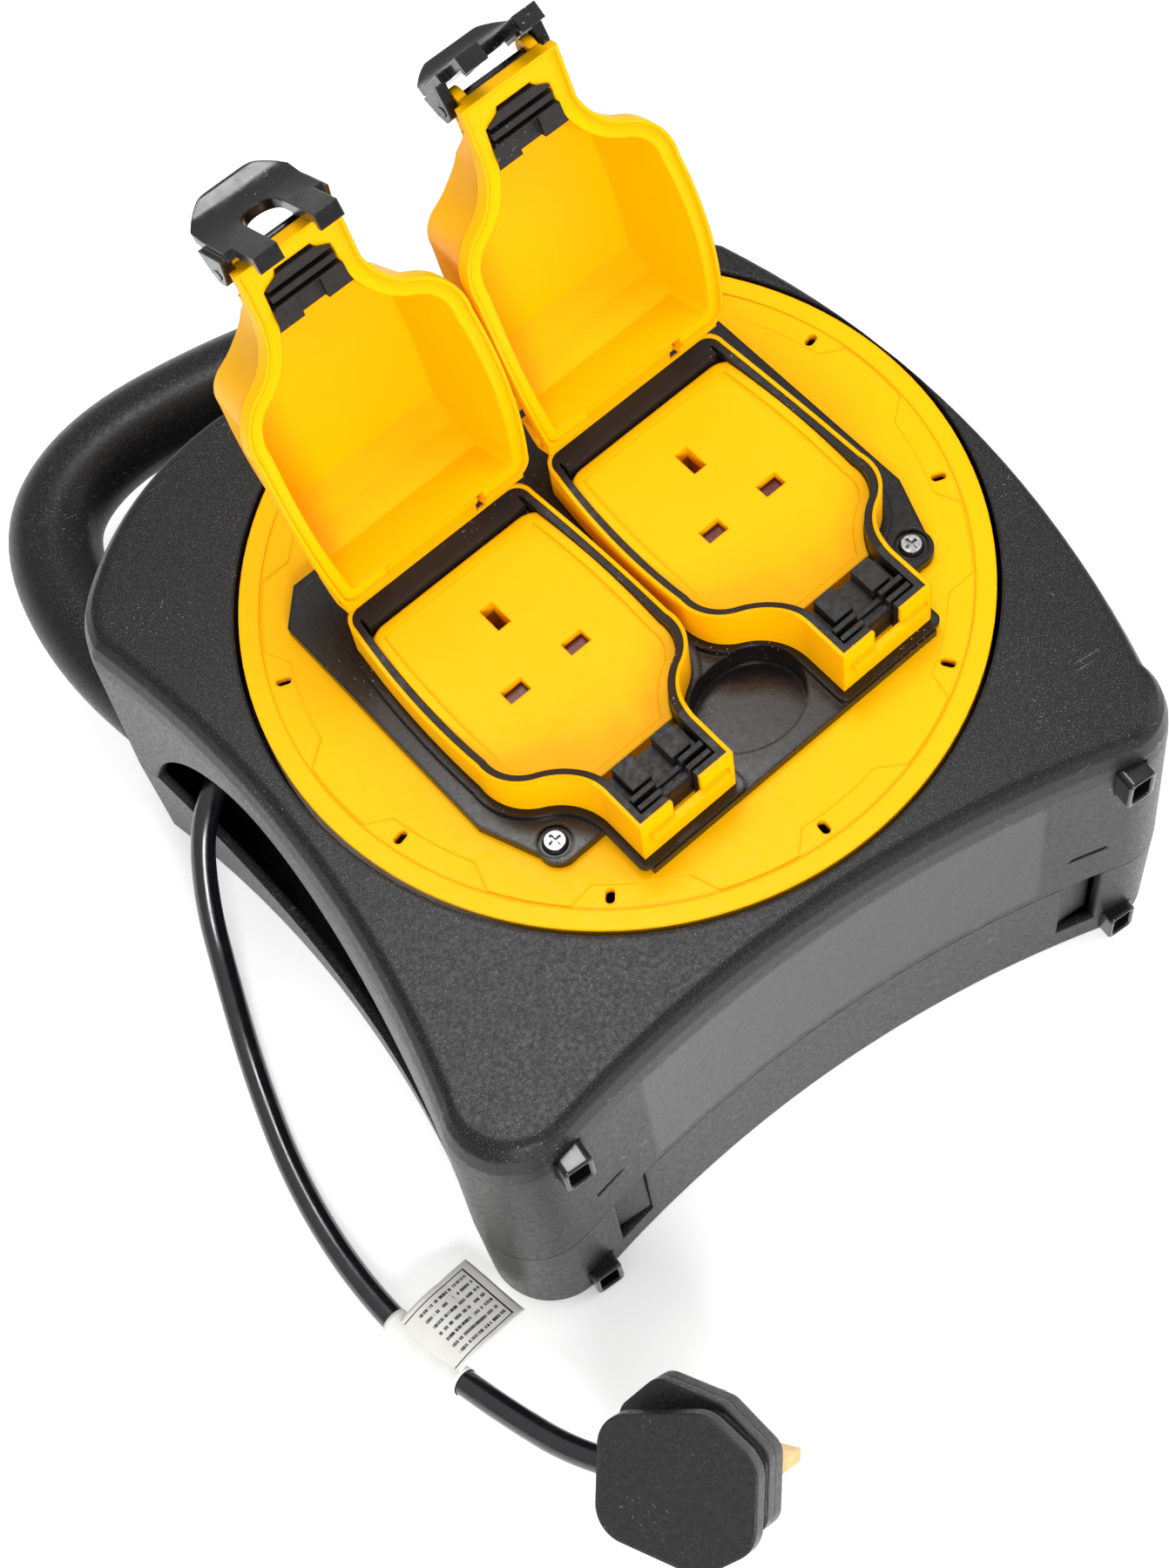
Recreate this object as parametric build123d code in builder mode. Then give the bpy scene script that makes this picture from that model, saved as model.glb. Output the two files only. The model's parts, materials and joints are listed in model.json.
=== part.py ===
"""Extension cord reel with a carry handle, an open-fronted black case, a yellow drum that turns on a
spindle, two sockets under hinged rain lids with latches, and a free cord with its plug.

Millimetres.  The origin is on the drum's axis at the case's flat back face, +Z runs out of the drum's
front, +Y runs to the carry handle and -X to the side with the cable slot.
"""
import os
from math import cos, pi, radians, sin, tan

from build123d import *

os.makedirs("parts", exist_ok=True)

# ---- driving dimensions -------------------------------------------------------------------------
case_depth = 128  # back face to the front crest
seam = 50  # height of the seam between the two shells
bevel_drop = 15  # depth of the rounded bevel round the front crest
bevel_steps = [(0, 0), (0.1, 0.42), (0.34, 0.76), (0.66, 0.94), (1, 1)]  # shares of it, inwards and up
wall = 3
draft = 1.012  # growth of the case's plan from the bevel to the seam
inner_plan = 0.976  # plan of the case's inside, as a share of its outside
opening_r = 111.5  # round opening for the drum
disc_r = 110
disc_top = 128
spool_r = 105  # drum flanges inside the case
hub_r = 50
chamber_floor = 86  # underside of the flange that closes the cable space
drum_turn = 7.1  # how far the drum stands turned in the case
slot_count = 10
slot_start = -95.9
spindle_r = 12
spindle_top = 60
handle_r = 15.2
handle_z = 58
foot_w = 9.5
foot_h = 14
foot_end = -137
panel_top = 131.5
socket_x = 37.2  # each socket's distance from the drum's middle line
face_top = 143
hinge_y = 35
hinge_z = 155.5
pin_r = 1.5
lid_open = 108.5  # rest angle of the lids, from closed
lid_height = 22.5  # top of a closed lid above its hinge axis
lid_taper = 9
lid_wall = 2.4
latch_u = 107  # latch pivot along the lid, from the hinge
latch_h = 6.3  # and above the hinge
latch_open = (9, 38)  # rest angle of each latch, from closed
window_span = 11.6  # gap between a latch's arms
cord_r = 4


# ---- planes -------------------------------------------------------------------------------------
def turned(x, y, z=0):
    """A vector of the drum's own frame, in the case's frame."""
    return Vector(x, y, z).rotate(Axis.Z, drum_turn)


def drum_plane(height=0.0, x=0.0, y=0.0):
    """Level plane of the drum, at a height over the back face."""
    return Plane(origin=turned(x, y, height), x_dir=turned(1, 0), z_dir=(0, 0, 1))


def drum_side(x=0.0):
    """Upright plane of the drum: its x runs to the hinges and its y up."""
    return Plane(origin=turned(x, 0), x_dir=turned(0, 1), z_dir=turned(1, 0))


def lid_axes():
    """Directions away from the hinge and out of the lid's top, for a lid that stands open."""
    along = turned(0, -cos(radians(lid_open)), sin(radians(lid_open)))
    out = turned(0, sin(radians(lid_open)), cos(radians(lid_open)))
    return along, out


def lid_point(x, u, h):
    """A point of a lid: across it, along it from the hinge, and out from the hinge axis."""
    along, out = lid_axes()
    return turned(x, hinge_y, hinge_z) + along * u + out * h


def lid_plane(x, h=0.0):
    """Plane of a lid parallel to its top: its y runs from the hinge to the latch."""
    return Plane(origin=lid_point(x, 0, h), x_dir=turned(-1, 0), z_dir=lid_axes()[1])


def lid_side(x):
    """Plane across a lid's hinge: its x runs to the latch and its y out of the lid's top."""
    return Plane(origin=lid_point(x, 0, 0), x_dir=lid_axes()[0], z_dir=turned(-1, 0))


def latch_side(x, angle):
    """Plane across a latch's pivot, turned outwards: its x runs outwards and its y to the thumb lip."""
    along, out = lid_axes()
    outwards = along * cos(radians(angle)) + out * sin(radians(angle))
    return Plane(origin=lid_point(x, latch_u, latch_h), x_dir=outwards, z_dir=turned(-1, 0))


def latch_face(x, angle, depth):
    """Plane over a latch's plate, a depth from its pivot: its x runs across and its y to the lip."""
    outwards = latch_side(x, angle).x_dir
    return Plane(origin=lid_point(x, latch_u, latch_h) + outwards * depth, x_dir=turned(1, 0),
                 z_dir=outwards)


def save(piece, name):
    """Label a finished piece and write it."""
    piece.part.label = name
    export_step(piece.part, f"parts/{name}.step")


# ---- case ---------------------------------------------------------------------------------------
def plan(points, size=1.0):
    """Closed outline from a list of (end, point on the arc) pairs; no second point means a line."""
    ends = [Vector(*end) * size for end, _ in points]
    for i, (_, middle) in enumerate(points):
        start = ends[i - 1]
        if middle is None:
            Line(start, ends[i])
        else:
            ThreePointArc(start, Vector(*middle) * size, ends[i])


case_plan = [  # lower edge of the bevel: waisted sides, four corners, and a round shoulder
    ((-129.5, -106), (-121.8, -12)),
    ((-106, -131.7), (-125.2, -127)),
    ((86, -132.2), (-15, -120)),
    ((106.2, -112), (101, -128.3)),
    ((95.7, 80.8), (115.3, -20)),
    ((-20, 123.4), (55, 112.3)),
    ((-66, 122.5), None),
    ((-128, 93), (-107, 109)),
    ((-137, 74), (-134, 84.5)),
]
crest_plan = [  # the crest at the top of the bevel
    ((-122.5, -104), (-115.4, -14)),
    ((-104, -126.3), (-119.3, -122.2)),
    ((84, -126.8), (-15, -114.6)),
    ((101.5, -110), (97.3, -122.7)),
    ((91.5, 77.2), (113, -20)),
    ((-20, 118), (52.8, 107.5)),
    ((-64, 117), None),
    ((-121.4, 89), (-103, 104)),
    ((-130, 72.5), (-127.4, 81.5)),
]


def between(share):
    """Plan of the rounded bevel, a share of the way from its foot to the crest."""
    mixed = []
    for low, high in zip(case_plan, crest_plan):
        pair = []
        for a, b in zip(low, high):
            pair.append(None if a is None else (a[0] + (b[0] - a[0]) * share, a[1] + (b[1] - a[1]) * share))
        mixed.append(tuple(pair))
    return mixed


def case_loft(points_low, low, size_low, points_high, high, size_high, mode=Mode.ADD):
    """Ruled body between two plans of the case."""
    with BuildSketch(Plane.XY.offset(low)) as lower:
        with BuildLine():
            plan(points_low, size_low)
        make_face()
    with BuildSketch(Plane.XY.offset(high)) as upper:
        with BuildLine():
            plan(points_high, size_high)
        make_face()
    loft([lower.sketch, upper.sketch], ruled=True, mode=mode)


bevel_foot = case_depth - bevel_drop
with BuildPart() as front_block:
    case_loft(case_plan, seam, draft, case_plan, bevel_foot, 1.0)
    for (in_low, up_low), (in_high, up_high) in zip(bevel_steps, bevel_steps[1:]):
        case_loft(between(in_low), bevel_foot + up_low * bevel_drop, 1.0,
                  between(in_high), bevel_foot + up_high * bevel_drop, 1.0)
with BuildPart() as back_block:
    case_loft(case_plan, 0, 1.008, case_plan, seam, draft)
    fillet(back_block.faces().sort_by(Axis.Z)[0].edges(), 3.5)

slot_low, slot_high = -95, 67  # ends of the cable slot along the left wall
slot_lip = [(slot_low, seam), (-76, 66), (-48, 88), (-18, 103), (8, 107), (31, 99), (52, 80),
            (slot_high, seam)]
slot_bottom = 25
boss_r, post_r = 6, 4.5  # screw bosses in the back shell and posts in the front shell
boss_places = [(-105, -107), (88, -107), (-101, 86)]
foot_places = [(-106, 9), (88, 9), (-105.4, 110), (85, 110)]
window_places = [-90.2, 74]
window_w = 12.6


def cable_slot():
    """Slot along the left wall: a wide blunt end for the cord, narrowing to a point at the other."""
    with BuildSketch(Plane.YZ.offset(-150)) as lens:
        with BuildLine():
            Spline(*slot_lip)
            ThreePointArc((slot_high, seam), (-18, slot_bottom), (slot_low, seam))
        make_face()
    extrude(lens.sketch, amount=42, mode=Mode.SUBTRACT)


def foot_sockets():
    """Rectangular sockets for the four feet, in the bottom wall."""
    for x, z in foot_places:
        with Locations((x, foot_end + 10, z)):
            Box(foot_w, 20, foot_h, mode=Mode.SUBTRACT)


with BuildPart() as front_shell:
    add(front_block.part)
    case_loft(case_plan, seam, 0.986, case_plan, bevel_foot - 2, inner_plan, Mode.SUBTRACT)
    case_loft(case_plan, bevel_foot - 2, inner_plan, crest_plan, case_depth - wall, inner_plan, Mode.SUBTRACT)
    with BuildSketch(Plane.XY.offset(seam)):
        Circle(opening_r)
    extrude(amount=case_depth, mode=Mode.SUBTRACT)
    cable_slot()
    with BuildSketch(Plane.XY.offset(6)):  # screw posts
        with Locations(*boss_places):
            Circle(post_r)
            Circle(1.6, mode=Mode.SUBTRACT)
    extrude(amount=case_depth - wall - 6)
    for x in window_places:  # snap tongues and the slots over them
        with Locations((x, -126.5, 35)):
            Box(window_w - 1, 2.4, 34)
        with Locations((x, -124.5, 56)):
            Box(window_w - 1, 4, 12)
        with Locations((x - 2, -131, 68)):
            Box(17, 4, 1.8, mode=Mode.SUBTRACT)
    foot_sockets()
save(front_shell, "front_shell")

with BuildPart() as back_shell:
    add(back_block.part)
    case_loft(case_plan, wall, 0.982, case_plan, seam, 0.986, Mode.SUBTRACT)
    cable_slot()
    with BuildSketch(Plane.XY.offset(wall)):  # spindle
        Circle(spindle_r)
    extrude(amount=spindle_top - wall)
    with BuildSketch(Plane.XY.offset(wall)):  # screw bosses
        with Locations(*boss_places):
            Circle(boss_r)
    extrude(amount=3)
    with BuildSketch(Plane.XY):
        with Locations(*boss_places):
            Circle(2)
    extrude(amount=6, mode=Mode.SUBTRACT)
    with BuildSketch(Plane.XY):
        with Locations(*boss_places):
            Circle(4.2)
    extrude(amount=3.4, mode=Mode.SUBTRACT)
    with BuildSketch(Plane.XY.offset(spindle_top - 22)):  # pilot hole for the spindle's screw
        Circle(2)
    extrude(amount=22, mode=Mode.SUBTRACT)
    for x in window_places:
        with Locations((x, -129, 33)):
            Box(window_w, 10, 37, mode=Mode.SUBTRACT)
    foot_sockets()
save(back_shell, "back_shell")

handle_route = [(-110, 50), (-119, 71), (-125.5, 94), (-128, 135), (-118, 163), (-95, 176.5),
                (-60, 178.5), (-25, 173.5), (20, 156), (57, 133), (80, 104), (86, 70)]
with BuildPart() as carry_handle:
    with BuildLine(Plane.XY.offset(handle_z)) as grip_line:
        Spline(*handle_route)
    with BuildSketch(Plane(origin=grip_line.line @ 0, z_dir=grip_line.line % 0)):
        Circle(handle_r)
    sweep(path=grip_line.line)
    add(front_block.part, mode=Mode.SUBTRACT)
    add(back_block.part, mode=Mode.SUBTRACT)
save(carry_handle, "carry_handle")


for name, places in (("back_feet", foot_places[:2]), ("front_feet", foot_places[2:])):
    with BuildPart() as foot_pair:
        with BuildSketch(Plane.XZ.offset(-foot_end)):  # hollow rectangular plugs
            with Locations(*places):
                RectangleRounded(foot_w, foot_h, 2)
                RectangleRounded(foot_w - 3.4, foot_h - 3.4, 1, mode=Mode.SUBTRACT)
        extrude(amount=-20)
    save(foot_pair, name)

with BuildPart() as case_screws:
    with BuildSketch(Plane.XY.offset(0.6)):
        with Locations(*boss_places):
            Circle(3.8)
    extrude(amount=2.8)
    with BuildSketch(Plane.XY.offset(3.4)):
        with Locations(*boss_places):
            Circle(1.5)
    extrude(amount=18)
save(case_screws, "case_screws")

with BuildPart() as spindle_washer:
    with BuildSketch(Plane.XY.offset(spindle_top)):
        Circle(16.5)
        Circle(2.2, mode=Mode.SUBTRACT)
    extrude(amount=1.5)
save(spindle_washer, "spindle_washer")

with BuildPart() as spindle_screw:
    with BuildSketch(Plane.XY.offset(spindle_top - 20)):
        Circle(1.9)
    extrude(amount=21.5)
    with BuildSketch(Plane.XY.offset(spindle_top + 1.5)):
        Circle(4.2)
    extrude(amount=2.6)
    fillet(spindle_screw.edges().sort_by(Axis.Z)[-1], 1)
save(spindle_screw, "spindle_screw")

# ---- drum ---------------------------------------------------------------------------------------
with BuildPart() as cable_spool:
    with BuildSketch(Plane.XZ):  # rear flange, hub, sleeve, floor and chamber wall
        with Locations((spool_r / 2 + 6.2, 13.5)):
            Rectangle(spool_r - 12.4, 3)
        with Locations((14, 36)):
            Rectangle(3.2, 45)
        with Locations((hub_r - 1.5, 50)):
            Rectangle(3, 75)
        with Locations(((spool_r + 20) / 2, chamber_floor + 1.5)):
            Rectangle(spool_r - 20, 3)
        with Locations((91.5, 106)):
            Rectangle(3, 37)
    revolve(axis=Axis.Z)
save(cable_spool, "cable_spool")

with BuildPart() as wound_cable:
    with BuildSketch(Plane.XZ):
        with Locations((74, (15 + chamber_floor) / 2)):
            RectangleRounded(48, chamber_floor - 15, 3.5)
    revolve(axis=Axis.Z)
save(wound_cable, "wound_cable")

low_r, high_r = 96.5, 104  # edge of the drum's centre field, by the slots and between them
field_top = disc_top - 0.5  # the groove between the field and the rim
sector = 360 / slot_count


def on_rim(radius, angle):
    """Point on a circle about the drum's axis."""
    return (radius * cos(radians(angle)), radius * sin(radians(angle)))


with BuildPart() as drum_front:
    with BuildSketch(drum_plane(124.5)):
        Circle(disc_r)
    extrude(amount=3)
    with BuildSketch(drum_plane(118)):  # skirt
        Circle(disc_r)
        Circle(disc_r - 2, mode=Mode.SUBTRACT)
    extrude(amount=7)
    with BuildSketch(drum_plane(field_top)):  # rim band
        Circle(disc_r)
        Circle(high_r, mode=Mode.SUBTRACT)
    extrude(amount=disc_top - field_top)
    with BuildSketch(drum_plane(field_top)):  # centre field, stepped in at each slot
        with BuildLine():
            for i in range(slot_count):
                at = slot_start + i * sector
                ThreePointArc(on_rim(low_r, at - 3), on_rim(low_r, at + 5), on_rim(low_r, at + 13))
                Line(on_rim(low_r, at + 13), on_rim(high_r - 0.8, at + 17))
                ThreePointArc(on_rim(high_r - 0.8, at + 17), on_rim(high_r - 0.8, at + 23),
                              on_rim(high_r - 0.8, at + 30))
                Line(on_rim(high_r - 0.8, at + 30), on_rim(low_r, at + 33))
        make_face()
    extrude(amount=disc_top - field_top)
    with BuildSketch(drum_plane(120)):
        with PolarLocations(99.7, slot_count, start_angle=slot_start):
            SlotOverall(4.6, 2.7)
    extrude(amount=10, mode=Mode.SUBTRACT)
    with BuildSketch(drum_plane(120)):  # opening behind the panel
        with Locations((0, 8)):
            Rectangle(134, 100)
        with Locations((0, -58)):
            Rectangle(100, 34)
    extrude(amount=10, mode=Mode.SUBTRACT)
    with BuildSketch(drum_plane(120)):
        with Locations((-67.8, -53), (67.8, -53)):
            Circle(1.3)
    extrude(amount=10, mode=Mode.SUBTRACT)
save(drum_front, "drum_front")


# ---- socket panel -------------------------------------------------------------------------------
def frame_plan(grow=0.0):
    """Plan of a socket's frame: a rounded box that narrows into a spout for the plug's cord."""
    with BuildSketch(mode=Mode.PRIVATE) as whole:
        with BuildLine():
            Line((0, 35), (27.5, 35))
            ThreePointArc((27.5, 35), (31.6, 33.4), (33.4, 29))
            ThreePointArc((33.4, 29), (35.6, 3), (35.4, -27))
            ThreePointArc((35.4, -27), (33, -38), (26.5, -44))
            ThreePointArc((26.5, -44), (19.6, -50.5), (16.7, -59.5))
            Line((16.7, -59.5), (16.7, -75))
            Line((16.7, -75), (0, -75))
            Line((0, -75), (0, 35))
        make_face()
        mirror(about=Plane.YZ)
        if grow:
            offset(amount=grow)
    return whole.sketch


def face_plan(inset, top, spout_end):
    """Plan of a socket's face: the frame's own outline set inwards, with a tongue into the spout."""
    with BuildSketch(mode=Mode.PRIVATE) as whole:
        with Locations((0, (top + spout_end) / 2)):
            RectangleRounded(66, top - spout_end, 8)
        with Locations((0, spout_end + 6)):
            Rectangle(40, 12)
        add(frame_plan(-inset), mode=Mode.INTERSECT)
    return whole.sketch


sides = (-1, 1)
cup_y = -57.6
with BuildPart() as socket_panel:
    with BuildSketch(drum_plane(disc_top)):
        with BuildLine():
            Polyline((0, 61), (70.5, 61), (80.5, 51), (80.5, -35), (73.5, -53))
            ThreePointArc((73.5, -53), (71.7, -58.4), (66, -60))
            Polyline((66, -60), (53.5, -60), (53.5, -78), (0, -78), (0, 61))
        make_face()
        mirror(about=Plane.YZ)
    extrude(amount=panel_top - disc_top)
    for s in sides:  # plinth round each socket
        with BuildSketch(drum_plane(panel_top, s * socket_x)):
            add(frame_plan(2.6))
        extrude(amount=1.8)
    with BuildSketch(drum_plane(121)):  # finger cup that the drum is wound by
        with Locations((0, cup_y)):
            Ellipse(20, 16.8)
    extrude(amount=panel_top - 121)
    with BuildSketch(drum_plane(123)):
        with Locations((0, cup_y)):
            Ellipse(18, 14.8)
    extrude(amount=20, mode=Mode.SUBTRACT)
    for s in sides:
        with BuildSketch(drum_plane(panel_top, s * socket_x)):  # seat of the frame
            add(frame_plan())
        extrude(amount=20, mode=Mode.SUBTRACT)
        with BuildSketch(drum_plane(disc_top - 20, s * socket_x)):  # hole for the socket's body
            with Locations((0, -6.5)):
                Rectangle(56, 61)
        extrude(amount=40, mode=Mode.SUBTRACT)
        with BuildSketch(drum_plane(panel_top - 1.5, s * 67.8, -53)):  # screw recess
            Circle(5)
        extrude(amount=5, mode=Mode.SUBTRACT)
        with BuildSketch(drum_plane(disc_top - 1, s * 67.8, -53)):
            Circle(1.9)
        extrude(amount=5, mode=Mode.SUBTRACT)
    with BuildSketch(drum_plane(disc_top - 1, 0, 48)):  # hole for the reset button
        Circle(4.4)
    extrude(amount=8, mode=Mode.SUBTRACT)
save(socket_panel, "socket_panel")

with BuildPart() as panel_screws:
    for s in sides:
        with BuildSketch(drum_plane(panel_top - 1.5, s * 67.8, -53)):
            Circle(3.8)
        extrude(amount=2, taper=22)
        with BuildSketch(drum_plane(panel_top - 0.7, s * 67.8, -53)):  # cross recess
            Rectangle(4.2, 0.9)
            Rectangle(0.9, 4.2)
        extrude(amount=3, mode=Mode.SUBTRACT)
        with BuildSketch(drum_plane(118, s * 67.8, -53)):
            Circle(1.3)
        extrude(amount=12.1)
save(panel_screws, "panel_screws")


# ---- sockets ------------------------------------------------------------------------------------
def cut_above_rim(lift):
    """Trims the current body along a socket's curved rim, raised by a little."""
    with BuildSketch(drum_side(-120)) as above:
        with BuildLine():
            ThreePointArc((42, 149 + lift), (-5, 143.8 + lift), (-52, 152 + lift))
            Polyline((-52, 152 + lift), (-56, 153 + lift), (-90, 153 + lift), (-90, 190), (42, 190),
                     (42, 149 + lift))
        make_face()
    extrude(above.sketch, amount=240, mode=Mode.SUBTRACT)


frame_wall = 1.2
gasket_w = 2.2
gasket_floor = 139
knuckle_foot = 133.3  # on the plinth
holes = {"earth": (0, 7.1), "live": (-11.1, -15.1), "neutral": (11.1, -15.1)}
for number, s in enumerate(sides, start=1):
    x = s * socket_x
    with BuildPart() as socket_frame:
        with BuildSketch(drum_plane(panel_top, x)):
            add(frame_plan())
        extrude(amount=25)
        with BuildSketch(drum_plane(gasket_floor, x)):
            add(frame_plan(-frame_wall))
        extrude(amount=25, mode=Mode.SUBTRACT)
        with BuildSketch(drum_plane(panel_top, x)):
            add(face_plan(5.2, 25, -50))
        extrude(amount=20, mode=Mode.SUBTRACT)
        cut_above_rim(0)
        with BuildSketch(drum_plane(140, x, -75)):  # notch where the cord leaves
            Rectangle(10, 6)
        extrude(amount=20, mode=Mode.SUBTRACT)
        with Locations(drum_plane(145.2, x, -75.8)):  # ledge that the latch's hooks hold
            Box(28, 2.4, 2.4)
        with BuildSketch(drum_side(x - 17)):  # hinge knuckle
            with Locations((hinge_y + 1, hinge_z)):
                Circle(3.6)
            with Locations((hinge_y + 1, (knuckle_foot + hinge_z) / 2)):
                Rectangle(3.4, hinge_z - knuckle_foot)
        extrude(amount=34)
        with BuildSketch(drum_side(x - 18)):
            with Locations((hinge_y, hinge_z)):
                Circle(pin_r + 0.1)
        extrude(amount=36, mode=Mode.SUBTRACT)
    save(socket_frame, f"socket_frame_{number}")

    with BuildPart() as gasket:
        with BuildSketch(drum_plane(gasket_floor, x)):
            add(frame_plan(-frame_wall))
            add(frame_plan(-frame_wall - gasket_w), mode=Mode.SUBTRACT)
            with Locations((0, 30.5)):
                Rectangle(58, 6)
        extrude(amount=25)
        cut_above_rim(-0.5)
        with BuildSketch(drum_plane(gasket_floor - 1, x, -75)):
            Rectangle(10, 9)
        extrude(amount=30, mode=Mode.SUBTRACT)
    save(gasket, f"gasket_{number}")

    with BuildPart() as socket_face:
        with BuildSketch(drum_plane(gasket_floor, x)):
            add(face_plan(frame_wall + gasket_w + 0.2, 26.5, -52))
        extrude(amount=face_top - gasket_floor)
        with BuildSketch(drum_plane(face_top - 1, x)):
            add(face_plan(6.6, 23.4, -49.5))
        extrude(amount=5, mode=Mode.SUBTRACT)
        with BuildSketch(drum_plane(112, x)):
            with Locations((0, -6.5)):
                Rectangle(55, 60)
        extrude(amount=gasket_floor - 112)
        with BuildSketch(drum_plane(136, x, -18)):  # room for the shutter
            Rectangle(33, 19)
        extrude(amount=3, mode=Mode.SUBTRACT)
        for (px, py), (w, d) in zip(holes.values(), ((4.6, 8.6), (7.2, 4.8), (7.2, 4.8))):
            with BuildSketch(drum_plane(114, x + px, py)):
                Rectangle(w + 3, d + 3)
            extrude(amount=22, mode=Mode.SUBTRACT)
            with BuildSketch(drum_plane(130, x + px, py)):
                Rectangle(w, d)
            extrude(amount=20, mode=Mode.SUBTRACT)
    save(socket_face, f"socket_face_{number}")

    with BuildPart() as shutter:
        with BuildSketch(drum_plane(136.4, x, -15.1)):
            Rectangle(31, 9)
        extrude(amount=2.2)
    save(shutter, f"shutter_{number}")

    with BuildPart() as contacts:
        for (px, py), (w, d) in zip(holes.values(), ((4.6, 8.6), (7.2, 4.8), (7.2, 4.8))):
            with BuildSketch(drum_plane(114, x + px, py)):  # a fork that grips the pin
                Rectangle(w + 3, d + 3)
                Rectangle(w - 0.4, d + 3, mode=Mode.SUBTRACT)
            extrude(amount=14)
            with BuildSketch(drum_plane(114, x + px, py)):
                Rectangle(w + 3, d + 3)
            extrude(amount=1.2)
    save(contacts, f"contacts_{number}")

    with BuildPart() as base_cord_seal:
        with BuildSketch(drum_plane(gasket_floor, x, -63.5)):
            Rectangle(25.6, 15)
        extrude(amount=9)
        for px in (-7, 7):
            with BuildSketch(drum_plane(148, x + px, -60.5)):
                Rectangle(6.9, 9)
            extrude(amount=4.6)
        for py in (-66.8, -70):
            with BuildSketch(drum_plane(148, x, py)):
                Rectangle(25.6, 1.6)
            extrude(amount=4.6)
        with BuildSketch(drum_plane(149.4, x, -68.4)):  # dip in the lips for the cord
            Rectangle(9, 6)
        extrude(amount=6, mode=Mode.SUBTRACT)
    save(base_cord_seal, f"base_cord_seal_{number}")

with BuildPart() as bus_strips:
    for py in (7.1, -12.6, -17.6):
        with BuildSketch(drum_plane(110.5, 0, py)):
            Rectangle(2 * socket_x + 6, 4)
        extrude(amount=1.5)
save(bus_strips, "bus_strips")

with BuildPart() as thermal_cutout:
    with BuildSketch(drum_plane(104, 0, 48)):
        Rectangle(15, 18)
    extrude(amount=disc_top - 104)
    with BuildSketch(drum_plane(disc_top - 8, 0, 48)):
        Circle(4.4)
    extrude(amount=9, mode=Mode.SUBTRACT)
save(thermal_cutout, "thermal_cutout")

with BuildPart() as reset_button:
    with BuildSketch(drum_plane(disc_top - 5, 0, 48)):
        Circle(4)
    extrude(amount=11)
    fillet(reset_button.faces().sort_by(Axis.Z)[-1].edges(), 1)
save(reset_button, "reset_button")


# ---- lids and latches ---------------------------------------------------------------------------
rim_low = -13


def lid_plan(grow=0.0):
    """Plan of a lid, from its hinge edge to the end of its spout."""
    with BuildSketch(mode=Mode.PRIVATE) as whole:
        with BuildLine():
            Line((0, 1.5), (28, 1.5))
            ThreePointArc((28, 1.5), (32, 2.9), (33.9, 6.5))
            ThreePointArc((33.9, 6.5), (36.6, 34), (36.3, 61))
            ThreePointArc((36.3, 61), (33.6, 72.4), (27, 78))
            ThreePointArc((27, 78), (19.8, 84), (16.5, 92.5))
            Line((16.5, 92.5), (16.5, 109.5))
            Line((16.5, 109.5), (0, 109.5))
            Line((0, 109.5), (0, 1.5))
        make_face()
        mirror(about=Plane.YZ)
        if grow:
            offset(amount=grow)
    return whole.sketch


def below_rim(x, lift):
    """Cuts the current body away under the lid's curved rim."""
    with BuildSketch(lid_side(x + 60)) as under:
        with BuildLine():
            ThreePointArc((-8, -6 + lift), (40, -11.3 + lift), (87, -3.1 + lift))
            Polyline((87, -3.1 + lift), (91, -2.1 + lift), (120, -2.1 + lift), (120, -40), (-8, -40),
                     (-8, -6 + lift))
        make_face()
    extrude(under.sketch, amount=120, mode=Mode.SUBTRACT)


def lid_crown(x, inset):
    """Cuts the tapered body to its sloped back, its top and the low top of its spout."""
    top = lid_height - inset
    low = 13 - inset
    with BuildSketch(lid_side(x + 60)) as over:
        with BuildLine():
            Polyline((-20, 60), (-20, -1), (0.5 + inset, -1), (12 + inset, top - 6), (19 + inset, top),
                     (76 - inset, top), (84 - inset, top - 2), (92 - inset, low), (130, low), (130, 60),
                     (-20, 60))
        make_face()
    extrude(over.sketch, amount=120, mode=Mode.SUBTRACT)


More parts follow.
